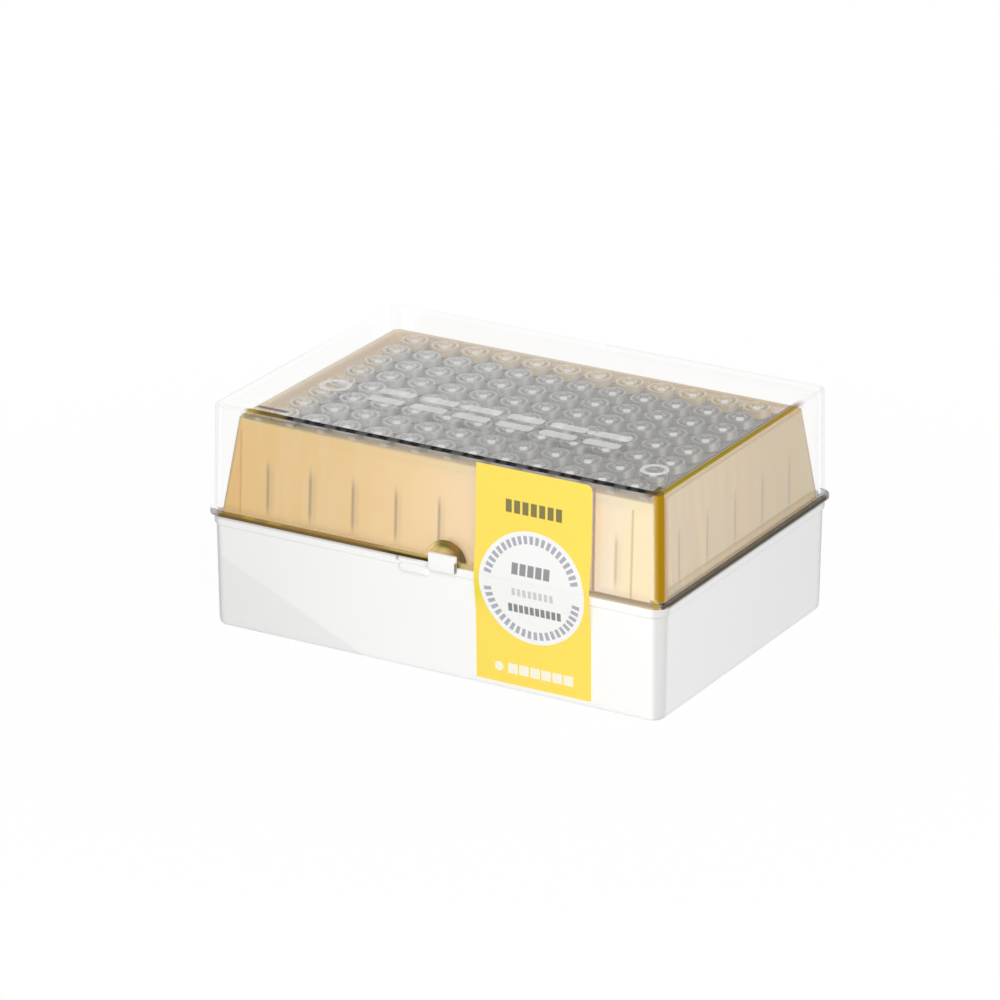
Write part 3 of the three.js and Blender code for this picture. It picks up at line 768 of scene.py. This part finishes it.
def piston_plastic():
    """White, but seen through the lid only the front of each piston's head catches the light, so that spot
    is painted white as painted light, and the rest is painted grey as painted shade.
    """
    finish = Finish("piston_plastic")
    point, x, y, z = finish.place()
    cloud = finish.noise(point, 150, 2)
    white = finish.mix(cloud, (0.56, 0.56, 0.55), (0.70, 0.70, 0.69))
    grey = tip_tone(finish, x, y, finish.mix(cloud, (0.34, 0.34, 0.33), (0.42, 0.42, 0.41)))
    from_x = in_head(x) - 0.65
    from_y = in_head(y) + 1.15
    lit = 1 - (from_x * from_x + from_y * from_y).rise(0.5, 1.5)
    surface = finish.principled(
        Base_Color=finish.mix(lit * z.band(54.0, 55.25, 0.1), grey, white),
        Roughness=0.25,
        IOR=1.49,
    )
    return finish.done(surface)


CAPILLARY = capillary_plastic()
PISTON = piston_plastic()

# %% [markdown]
# ## The seal's paper and print
# The seal is coated paper, printed yellow with a white disc. What the maker prints on it is left as plain
# dashes. Everything is drawn from the Object coordinates of the front of the box, so the print runs on
# across the slit between the two halves.

# %% Seal paper
DISC_Z = 28.2
DISC_RADIUS = 14.6


def dashes(finish, along, across, row, width, height, count, duty):
    """A row of dashes centred on along = 0 and across = row."""
    pitch = width / count
    inside = (abs(along) < width / 2) * (1 - abs(across - row).rise(height / 2 - 0.1, height / 2 + 0.15))
    return inside * ((along + width / 2) % pitch < pitch * duty)


def seal_paper():
    finish = Finish("seal_paper")
    point, x, y, z = finish.place()
    away_x = x - SEAL_MIDDLE
    away_z = z - DISC_Z
    distance = (away_x * away_x + away_z * away_z).root()
    angle = away_z.math("ARCTAN2", away_z, away_x)
    # Painted shade: the yellow is a little deeper where the paper stands off the box at its left edge,
    # below the flange.
    stretched = (1 - away_x.rise(-16, -11)) * z.band(22, 29, 3)
    colour = finish.mix(stretched, (0.97, 0.745, 0.105), (0.86, 0.70, 0.03))
    disc = 1 - distance.rise(DISC_RADIUS - 0.12, DISC_RADIUS + 0.12)
    colour = colour.lay(disc, (0.90, 0.91, 0.90))
    # A code above the disc, three rows inside it, and two arcs of marks round its edge.
    code = dashes(finish, away_x - 0.4, z, 48.4, 16.2, 3.3, 7, 0.72)
    colour = colour.lay(code * 0.85, (0.10, 0.09, 0.06))
    bold = dashes(finish, away_x, z, 32.8, 11.0, 2.9, 5, 0.78)
    colour = colour.lay(bold * 0.75, (0.09, 0.09, 0.10))
    light = dashes(finish, away_x - 0.5, z, 26.7, 12.0, 1.9, 8, 0.6)
    colour = colour.lay(light * 0.4, (0.16, 0.16, 0.17))
    dark = dashes(finish, away_x - 0.8, z, 22.3, 15.0, 2.1, 10, 0.74)
    colour = colour.lay(dark * 0.8, (0.07, 0.07, 0.08))
    upper_arc = dashes(finish, angle - 1.64, distance, 12.4, 2.74, 2.0, 21, 0.6)
    lower_arc = dashes(finish, angle + 1.56, distance, 12.4, 2.93, 2.0, 22, 0.6)
    colour = colour.lay((upper_arc + lower_arc) * 0.7, (0.22, 0.21, 0.30))
    # A white band of blocks under the disc, with a dot before it.
    blocks = dashes(finish, away_x - 2.2, z, 5.9, 18.6, 2.6, 6, 0.86)
    dot_x = away_x + 9.6
    dot_z = z - 5.9
    dot = dot_x * dot_x + dot_z * dot_z < 1.5
    colour = colour.lay((blocks + dot) * 0.85, (0.93, 0.93, 0.88))
    surface = finish.principled(
        Base_Color=colour,
        Roughness=0.45,
        IOR=1.45,
        Normal=finish.bump(finish.noise(point, 1500, 3), 0.00003, 0.3),
    )
    return finish.done(finish.clear_to(finish.ray("Shadow") * 0.8, surface))


PAPER = seal_paper()

# %% [markdown]
# ## The base
# One moulding: a tray with drafted walls, a lip round its rim, posts that the rack stands on, the springy
# latch tab, the thumb ledge beside it and the ears of the hinges.

# %% The base
def corner_radius(ring_point):
    """The base's corners keep one centre, so an inner ring has a smaller radius."""
    return max(4 - (RIM_X - ring_point.x), 1.0)


def base_shell():
    lip_bottom = BASE_HEIGHT - 2.1
    profile = [
        (62.4, 42.7, 0),
        (63.1, 43.4, 0, 0.9),
        (63.35, 43.65, 2),
        (63.6, 44.1, lip_bottom - 0.4, 0.2),
        (RIM_X, 44.6, lip_bottom, 0.25),
        (RIM_X, 44.6, BASE_HEIGHT, 0.4),
        (62.5, 43, BASE_HEIGHT, 0.3),
        (61.9, 42.4, BASE_HEIGHT - 4),
        (61.7, 42.2, 1.8, 1.2),
        (60.2, 40.7, 1.8),
    ]
    return loft(eased(profile), corner_radius)


def base_posts():
    whole = bmesh.new()
    top = 24
    for side in (-1, 1):
        for x in (-40, 0, 40):
            low, high = sorted((side * 40.2, side * 42.7))
            set_down(whole, block((x - 0.8, low, 1.2), (x + 0.8, high, top)))
        for y in (-21.6, 21.6):
            low, high = sorted((side * 59.7, side * 62.2))
            set_down(whole, block((low, y - 0.8, 1.2), (high, y + 0.8, top)))
    return whole


# An outline of (y, z) points is drawn in the XY plane and stood up with its thickness along +X.
UPRIGHT = Matrix(((0, 0, 1, 0), (1, 0, 0, 0), (0, 1, 0, 0), (0, 0, 0, 1)))


def latch_tab():
    outline = [
        (-46.2, BASE_HEIGHT - 1.3),
        (-43.8, BASE_HEIGHT - 2.2),
        (-43.8, BASE_HEIGHT),
        (-45.5, BASE_HEIGHT),
        (-45.5, LATCH_TOP),
        (-46.7, LATCH_TOP),
        (-46.7, BASE_HEIGHT - 0.6),
    ]
    tab = plate(outline, LATCH_RIGHT - LATCH_LEFT, easing=0.3)
    tab.transform(Matrix.Translation((LATCH_LEFT, 0, 0)) @ UPRIGHT)
    return tab


def thumb_ledge():
    return block((-8.8, -45.7, 25.6), (0.3, -43, 28.4), easing=1.38, segments=6)


HINGE_X, HINGE_Y, HINGE_Z = 36.0, 47.1, 29.4
EAR_WIDTH = 2.0
BARREL_LENGTH = 8.0
EAR_RADIUS = 2.05
BARREL_RADIUS = 1.85
TRUNNION_RADIUS = 0.9


def hinge_ear():
    """One ear from x = 0, round at its head, with a gusset down the wall."""
    turns = [math.pi * (1.15 * step / 16 - 0.25) for step in range(17)]
    head = [(HINGE_Y + EAR_RADIUS * math.cos(t), HINGE_Z + EAR_RADIUS * math.sin(t)) for t in turns]
    outline = head + [(44.9, 28.9), (43.7, 28.9), (43.7, 23.6)]
    ear = plate(outline, EAR_WIDTH, holes=[(HINGE_Y, HINGE_Z, TRUNNION_RADIUS + 0.25)], easing=0.2)
    ear.transform(UPRIGHT)
    return ear


base = base_shell()
set_down(base, base_posts())
set_down(base, latch_tab())
set_down(base, thumb_ledge())
ear = hinge_ear()
for hinge in (-HINGE_X, HINGE_X):
    for start in (-BARREL_LENGTH / 2 - 0.3 - EAR_WIDTH, BARREL_LENGTH / 2 + 0.3):
        set_down(base, ear, Matrix.Translation((hinge + start, 0, 0)))
make_piece(base, "base_moulding", "base", WHITE, ["base"])

# %% [markdown]
# ## The rack
# One moulding: a skirt that sits in the base, tapering walls, and a deck sunk inside a raised rim, with a
# round hole for every tip. The deck's two faces are filled round the circles of the holes, and each pair
# of circles is bridged into a bore.

# %% The rack
DECK_TOP = RACK_TOP - 2.0
DECK_UNDERSIDE = DECK_TOP - 1.4
HOLE_RADIUS = 2.6
RACK_CORNER = 1.7


def rack_shell():
    profile = [
        (57.6, 36.8, DECK_UNDERSIDE),
        (58.2, 37.4, DECK_UNDERSIDE, 0.5),
        (60.5, 41.1, 30.2),
        (60.3, 40.8, 24.3),
        (61.6, 42.1, 24.3, 0.2),
        (SKIRT_X, SKIRT_Y, 30.2, 0.3),
        (59.2, 38.25, RACK_TOP, 0.55),
        (57.65, 36.7, RACK_TOP, 0.3),
        (57.3, 36.4, DECK_TOP, 0.3),
        (56.6, 35.7, DECK_TOP),
    ]
    return loft(eased(profile), lambda p: RACK_CORNER, close_first=False, close_last=False)


def hole_circles(bm, z):
    """One circle of edges for each tip."""
    circles = []
    for x in places(COLUMNS, TIP_PITCH):
        for y in places(ROWS, TIP_PITCH):
            at = Matrix.Translation((x, y, z))
            verts = bmesh.ops.create_circle(bm, segments=24, radius=HOLE_RADIUS, matrix=at)["verts"]
            circles.append(list({edge for vert in verts for edge in vert.link_edges}))
    return circles


def open_edges_at(bm, z):
    return [e for e in bm.edges if len(e.link_faces) < 2 and all(abs(v.co.z - z) < 0.01 for v in e.verts)]


def fill_deck(bm):
    """Closes the shell with a deck of two faces and 96 bores."""
    upper = hole_circles(bm, DECK_TOP)
    lower = hole_circles(bm, DECK_UNDERSIDE)
    for z in (DECK_TOP, DECK_UNDERSIDE):
        bmesh.ops.triangle_fill(bm, use_beauty=True, edges=open_edges_at(bm, z), normal=(0, 0, 1))
    for above, below in zip(upper, lower):
        bmesh.ops.bridge_loops(bm, edges=above + below)


def rack_rib(root, edge):
    """A wedge inside the wall at -Y, one millimetre thick about x = 0."""
    outline = [
        (-root - 0.7, 24.3),
        (-edge, 24.3),
        (-edge, 45.0),
        (-edge - 0.7, 45.0),
        (-root - 0.7, 30.2),
    ]
    rib = plate(outline, 1.0)
    rib.transform(Matrix.Translation((-0.5, 0, 0)) @ UPRIGHT)
    return rib


rack = rack_shell()
fill_deck(rack)
bmesh.ops.recalc_face_normals(rack, faces=rack.faces)
long_rib = rack_rib(40.7, 38.6)
for x in places(LONG_RIBS["count"], LONG_RIBS["pitch"]):
    for turn in (0, math.pi):
        set_down(rack, long_rib, Matrix.Translation((x, 0, 0)) @ Matrix.Rotation(turn, 4, "Z"))
short_rib = rack_rib(60.2, 58.9)
for y in places(SHORT_RIBS["count"], SHORT_RIBS["pitch"]):
    for turn in (math.pi / 2, -math.pi / 2):
        set_down(rack, short_rib, Matrix.Translation((0, y, 0)) @ Matrix.Rotation(turn, 4, "Z"))
make_piece(rack, "rack_moulding", "base", AMBER, ["rack"])

# %% [markdown]
# ## The lid
# One clear moulding: a cover with thin drafted walls and a flange that rests on the base's rim. Over the
# latch stands a half-round hood that stiffens the flange. Two barrels at the back turn in the base's ears.

# %% The lid
def lid_radius(ring_point):
    return max(4 - (FLANGE_X - ring_point.x), 2.0)


def make_room_for_ears(shell):
    """Sets the flange's back edge in beside each barrel, where the base's ears stand when the lid opens."""
    for hinge in (-HINGE_X, HINGE_X):
        for start in (-BARREL_LENGTH / 2 - EAR_WIDTH - 0.6, BARREL_LENGTH / 2):
            low, high = hinge + start, hinge + start + EAR_WIDTH + 0.6
            for x in (low - 0.04, low, high, high + 0.04):
                back = [face for face in shell.faces if all(v.co.y > 42 and v.co.z < 32 for v in face.verts)]
                edges = list({edge for face in back for edge in face.edges})
                verts = list({vert for face in back for vert in face.verts})
                whole = verts + edges + back
                bmesh.ops.bisect_plane(shell, geom=whole, plane_co=(x, 0, 0), plane_no=(1, 0, 0))
            for vert in shell.verts:
                if low - 0.01 < vert.co.x < high + 0.01 and vert.co.z < 32:
                    vert.co.y = min(vert.co.y, 44.6)


def lid_shell():
    ceiling = LID_TOP - 1.4
    profile = [
        (60.9, 41.9, ceiling),
        (61.6, 42.6, ceiling, 0.7),
        (62.3, 42.9, FLANGE_BOTTOM, 0.15),
        (FLANGE_X, FLANGE_Y, FLANGE_BOTTOM, 0.3),
        (FLANGE_X, FLANGE_Y, FLANGE_TOP, 0.4),
        (63.7, 44.3, FLANGE_TOP, 0.4),
        (62.9, 43.85, LID_TOP - RELIEF, 1.0),
        (61.8, 42.75, LID_TOP - RELIEF),
    ]
    return loft(eased(profile, 5), lid_radius)


def latch_hood():
    """An arch over the latch, its section spun half a turn about Y, and the thin web that fills it."""
    bm = bmesh.new()
    corners = bmesh.ops.create_grid(bm, x_segments=1, y_segments=1, size=0.5)["verts"]
    bmesh.ops.scale(bm, vec=(1.2, 1.3, 1), verts=corners)
    bmesh.ops.translate(bm, vec=(5.3, -44.55, 0), verts=corners)
    bmesh.ops.spin(
        bm, geom=list(bm.faces), cent=(0, 0, 0), axis=(0, -1, 0), angle=math.pi, steps=28, use_merge=False
    )
    bmesh.ops.recalc_face_normals(bm, faces=bm.faces)
    ease_edges(bm, 0.25)
    web = bmesh.new()
    bmesh.ops.create_cone(web, cap_ends=True, segments=56, radius1=4.9, radius2=4.9, depth=0.4)
    web.transform(Matrix.Translation((0, -44.45, 0)) @ Matrix.Rotation(math.pi / 2, 4, "X"))
    whole = list(web.verts) + list(web.edges) + list(web.faces)
    bmesh.ops.bisect_plane(web, geom=whole, plane_co=(0, 0, 0), plane_no=(0, 0, 1), clear_inner=True)
    bmesh.ops.holes_fill(web, edges=[e for e in web.edges if e.is_boundary], sides=0)
    set_down(bm, web)
    bm.transform(Matrix.Translation((LATCH_MIDDLE, 0, FLANGE_BOTTOM + 0.4)))
    return bm


def rod_along_x(radius, length, steps=28, easing=0.15):
    bm = bmesh.new()
    bmesh.ops.create_cone(
        bm, cap_ends=True, segments=steps, radius1=radius, radius2=radius, depth=length
    )
    ease_edges(bm, easing)
    bm.transform(Matrix.Rotation(math.pi / 2, 4, "Y"))
    return bm


def hinge_knuckle():
    """A barrel with a trunnion at each end, on a strap from the flange, about the hinge's own middle."""
    whole = rod_along_x(BARREL_RADIUS, BARREL_LENGTH)
    set_down(whole, rod_along_x(TRUNNION_RADIUS, BARREL_LENGTH + 2 * (EAR_WIDTH + 0.3)))
    strap = block(
        (-BARREL_LENGTH / 2, 44.4 - HINGE_Y, FLANGE_BOTTOM - HINGE_Z),
        (BARREL_LENGTH / 2, 0, FLANGE_TOP - HINGE_Z),
    )
    set_down(whole, strap)
    return whole


lid = lid_shell()
make_room_for_ears(lid)
set_down(lid, latch_hood())
knuckle = hinge_knuckle()
for hinge in (-HINGE_X, HINGE_X):
    set_down(lid, knuckle, Matrix.Translation((hinge, HINGE_Y, HINGE_Z)))
make_piece(lid, "lid_moulding", "lid", CLEAR, ["lid"])

# %% [markdown]
# ## The lid's raised marks
# Marks stand a hair's breadth above the lid's top: two rows of oblong pads along the front half, with a ring
# at each end. Their part of the mould is grit-blasted, so they look frosted. They belong to the same
# moulding, but they're drawn as a piece of their own because they have a finish of their own.

# %% Raised marks
MARKS_Y = -18.0


def pad(half_x, half_y):
    """One oblong with rounded corners and eased top edges, standing on z = 0."""
    corners = [(-half_x, -half_y), (half_x, -half_y), (half_x, half_y), (-half_x, half_y)]
    return plate(corners, RELIEF - 0.02, rounding=0.9)


def mark_ring(radius, width):
    section = [(radius - width, 0), (radius, 0), (radius, RELIEF - 0.02), (radius - width, RELIEF - 0.02)]
    return turned(section + section[:1], 32)


marks = bmesh.new()
mark_level = LID_TOP - RELIEF + 0.01
for x in places(6, 12.2):
    for y in (-2.9, 2.9):
        set_down(marks, pad(4.9, 1.7), Matrix.Translation((x + 4, MARKS_Y + y, mark_level)))
set_down(marks, mark_ring(4.2, 1.5), Matrix.Translation((-43, MARKS_Y, mark_level)))
set_down(marks, mark_ring(3.6, 1.2), Matrix.Translation((54, -30, mark_level)))
bmesh.ops.recalc_face_normals(marks, faces=marks.faces)
make_piece(marks, "lid_marks", "lid", FROSTED, [])

# %% [markdown]
# ## The tips
# A capillary is a fine tapering tube under a ring-shaped head. A piston hangs in it by a head of its own.
# Both are turned, made once, and set down eight times for each column.

# %% The tips
HEAD_TOP = 55.0
CAPILLARY_PROFILE = [
    (0.25, 5.0),
    (0.6, 5.0),
    (1.85, 50.0),
    (1.95, DECK_TOP + 0.3),
    (3.45, DECK_TOP + 0.3),
    (3.7, DECK_TOP + 0.55),
    (3.7, HEAD_TOP - 0.3),
    (3.55, HEAD_TOP - 0.05),
    (3.4, HEAD_TOP),
    (3.1, HEAD_TOP),
    (2.95, HEAD_TOP - 0.1),
    (2.85, HEAD_TOP - 0.4),
    (1.35, 51.4),
    (0.95, 45.0),
    (0.25, 8.0),
    (0.25, 5.0),
]
PISTON_PROFILE = [
    (0, 12.0),
    (0.15, 12.2),
    (0.8, 46.0),
    (0.95, 51.4),
    (1.15, 53.2),
    (2.0, 54.4),
    (2.1, 54.7),
    (2.0, 54.95),
    (1.7, 55.05),
    (1.15, 55.05),
    (1.05, 55.15),
    (1.0, 55.75),
    (0.85, 55.88),
    (0, 55.88),
]

capillary = turned(CAPILLARY_PROFILE, 24)
piston = turned(PISTON_PROFILE, 20)
for bm in (capillary, piston):
    bmesh.ops.recalc_face_normals(bm, faces=bm.faces)

for number, x in enumerate(places(COLUMNS, TIP_PITCH), start=1):
    column = bmesh.new()
    pistons = bmesh.new()
    for y in places(ROWS, TIP_PITCH):
        set_down(column, capillary, Matrix.Translation((x, y, 0)))
        set_down(pistons, piston, Matrix.Translation((x, y, 0)))
    label = f"{number:02d}"
    replaced = [f"capillaries_column_{label}"]
    make_piece(column, f"capillaries_{label}", "base", CAPILLARY, replaced)
    make_piece(pistons, f"pistons_{label}", "base", PISTON, [f"pistons_column_{label}"])

# %% [markdown]
# ## The seal
# One strip of paper, stuck to the lid above and the base below. It stands off both where it crosses the
# flange, because paper takes the short way over a step. It is slit along the seam, so that each half goes
# with its own body when the lid opens.

# %% The seal
SEAM_Z = 29.6
SEAL_THICKNESS = 0.18
SEAL_BACK = [  # (height, distance of the paper's back in front of the plan's middle)
    (SEAL_TOP, 44.0),
    (40.5, 44.25),
    (31.2, 45.28),
    (28.0, 45.2),
    (19.0, 44.15),
    (SEAL_BOTTOM, 43.72),
]


def seal_back(z):
    """Where the paper's back lies at a height, straight between the points given."""
    for (high, far), (low, near) in zip(SEAL_BACK, SEAL_BACK[1:]):
        if z >= low:
            share = (z - low) / (high - low)
            return near + (far - near) * share
    return SEAL_BACK[-1][1]


def seal_half(low, high, corner=0):
    """A rectangle in the XZ plane, cut into strips by planes so that it can bend, and bent by height. Its
    top right corner may be rounded."""
    bm = bmesh.new()
    around = ((SEAL_LEFT, low), (SEAL_RIGHT, low), (SEAL_RIGHT, high), (SEAL_LEFT, high))
    verts = [bm.verts.new((x, 0, z)) for x, z in around]
    bm.faces.new(verts)
    if corner:
        rounded(bm, verts[2:3], corner, "VERTICES", 8)
    steps = int((high - low) / 0.8)
    for step in range(1, steps):
        z = low + (high - low) * step / steps
        bmesh.ops.bisect_plane(
            bm, geom=list(bm.verts) + list(bm.edges) + list(bm.faces), plane_co=(0, 0, z), plane_no=(0, 0, 1)
        )
    for vert in bm.verts:
        vert.co.y = -seal_back(vert.co.z)
    bmesh.ops.solidify(bm, geom=list(bm.faces), thickness=SEAL_THICKNESS)
    bmesh.ops.recalc_face_normals(bm, faces=bm.faces)
    return bm


upper = seal_half(SEAM_Z + 0.02, SEAL_TOP, corner=1.5)
make_piece(upper, "seal_paper_upper", "lid", PAPER, ["seal_upper"])
lower = seal_half(SEAL_BOTTOM, SEAM_Z - 0.02)
make_piece(lower, "seal_paper_lower", "base", PAPER, ["seal_lower"])

# %% [markdown]
# ## Studio
# The box stands on a white sweep. The camera, mirrors and clear plastic all see the sweep as plain white,
# while the light itself stays at a level where a colour renders about as it is written.

# %% Floor, world and lamps
def floor_finish():
    finish = Finish("studio_floor")
    diffuse = finish.node("ShaderNodeBsdfDiffuse", {}, {"Color": (0.9, 0.9, 0.9)})
    bright = finish.node("ShaderNodeEmission", {}, {"Color": (1, 1, 1), "Strength": 1.0})
    point, x, y, z = finish.place()
    # The box's surroundings are a trace darker, as under a soft shadow.
    near = 1 - (x * x + y * y).root().rise(90, 240)
    sight = finish.ray("Camera") + finish.ray("Glossy") + finish.ray("Transmission")
    return finish.done(finish.mix_shader(sight * (1 - near * 0.03), diffuse, bright))


floor_bm = bmesh.new()
bmesh.ops.create_grid(floor_bm, x_segments=1, y_segments=1, size=4)
floor_mesh = bpy.data.meshes.new("floor")
floor_bm.to_mesh(floor_mesh)
floor_bm.free()
floor = bpy.data.objects.new("floor", floor_mesh)
floor.location.z = -0.0002
bpy.context.scene.collection.objects.link(floor)
floor_mesh.materials.append(floor_finish())

def studio_world():
    """Even white light, which the camera, mirrors and clear plastic see as plain white."""
    finish = Finish("studio", bpy.data.worlds)
    light = finish.node("ShaderNodeBackground", {}, {"Color": (1, 1, 1), "Strength": 0.6})
    shown = finish.node("ShaderNodeBackground", {}, {"Color": (1, 1, 1), "Strength": 1.0})
    sight = either(either(finish.ray("Camera"), finish.ray("Glossy")), finish.ray("Transmission"))
    return finish.done(finish.mix_shader(sight, light, shown), "ShaderNodeOutputWorld")


bpy.context.scene.world = studio_world()


def softbox(name, location, size, watts):
    """A square area lamp that faces the box."""
    data = bpy.data.lights.new(name, "AREA")
    data.shape = "SQUARE"
    data.size = size
    data.energy = watts
    lamp = bpy.data.objects.new(name, data)
    lamp.location = location
    aim = Vector((0, 0, 0.03)) - lamp.location
    lamp.rotation_euler = aim.to_track_quat("-Z", "Y").to_euler()
    lamp.visible_glossy = lamp.visible_transmission = False  # or its image fills the lid's top from behind
    bpy.context.scene.collection.objects.link(lamp)
    return lamp


softbox("key", (0.30, -0.46, 0.30), 0.35, 1.55)
softbox("fill", (0.6, 0.1, 0.5), 0.5, 0.5)

view = bpy.context.scene.view_settings
view.view_transform = "Standard"
